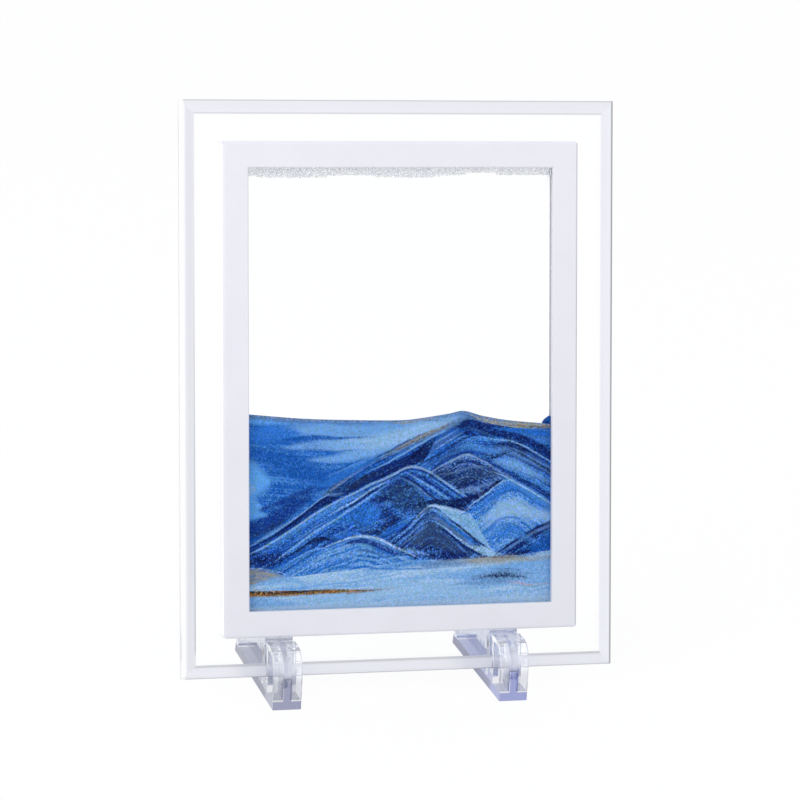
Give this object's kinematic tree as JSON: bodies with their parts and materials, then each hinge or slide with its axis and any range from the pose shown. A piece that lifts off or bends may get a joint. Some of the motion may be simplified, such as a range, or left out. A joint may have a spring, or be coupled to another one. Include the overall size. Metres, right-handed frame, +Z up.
{
  "type": "moving sand picture",
  "caption": "Rectangular moving-sand picture: a bevelled glass pane with a white-framed sealed cell of liquid and layered blue sand, leaning in clear slotted feet.",
  "frame": {"origin": "middle of the feet's footprint, at the height of the table they stand on, midway across the pane", "axes": "+Z up, +X to the right as seen from the front, the picture faces -Y and leans back towards +Y"},
  "size_m": [0.199, 0.08, 0.2594],
  "materials": {
    "clear_glass": "polished float glass with a polished bevel",
    "white_plastic": "satin moulded plastic",
    "spacer_plastic": "satin",
    "clear_adhesive": "clear adhesive",
    "stopper_rubber": "soft silicone",
    "clear_liquid": "clear liquid",
    "froth": "close-packed small bubbles",
    "clear_moulding": "clear moulded acrylic with a faint lavender tint",
    "light_blue_sand": "loose fine sand, wet, speckled",
    "gold_sand": "loose fine sand, wet, speckled",
    "beige_sand": "loose fine sand, wet, speckled",
    "charcoal_sand": "loose fine sand, wet, speckled",
    "navy_sand": "loose fine sand, wet, speckled",
    "pale_blue_sand": "loose fine sand, wet, speckled",
    "bright_blue_sand": "loose fine sand, wet, speckled",
    "mid_blue_sand": "loose fine sand, wet, speckled",
    "grey_sand": "loose fine sand, wet, speckled"
  },
  "bodies": {
    "picture": {"glass_pane": "clear_glass", "front_frame": "white_plastic", "rear_frame": "white_plastic", "front_adhesive_ring": "clear_adhesive", "rear_adhesive_ring": "clear_adhesive", "front_cell_glass": "clear_glass", "rear_cell_glass": "clear_glass", "cell_spacer": "spacer_plastic", "filling_plug": "stopper_rubber", "clear_liquid": "clear_liquid", "bubble_froth": "froth", "sand_bed": "light_blue_sand", "sand_gold_seam": "gold_sand", "sand_beige_mound": "beige_sand", "sand_wave_dune": "light_blue_sand", "sand_dark_peak": "charcoal_sand", "sand_right_dune": "navy_sand", "sand_pale_saddle": "pale_blue_sand", "sand_bright_mountain": "bright_blue_sand", "sand_banded_mound": "mid_blue_sand", "sand_third_mountain": "charcoal_sand", "sand_second_ridge": "mid_blue_sand", "sand_main_ridge": "navy_sand", "sand_crest_seam": "gold_sand", "sand_left_wedge": "bright_blue_sand", "sand_surface_veil": "grey_sand", "sand_corner_pile": "navy_sand"},
    "left_foot": {"left_foot": "clear_moulding"},
    "right_foot": {"right_foot": "clear_moulding"}
  },
  "joints": [
    {"name": "left_foot_pull_off", "type": "slide", "parent": "picture", "child": "left_foot", "axis": [0, -0.2079, -0.9781], "range_m": [0, 0.03]},
    {"name": "right_foot_pull_off", "type": "slide", "parent": "picture", "child": "right_foot", "axis": [0, -0.2079, -0.9781], "range_m": [0, 0.03]}
  ]
}
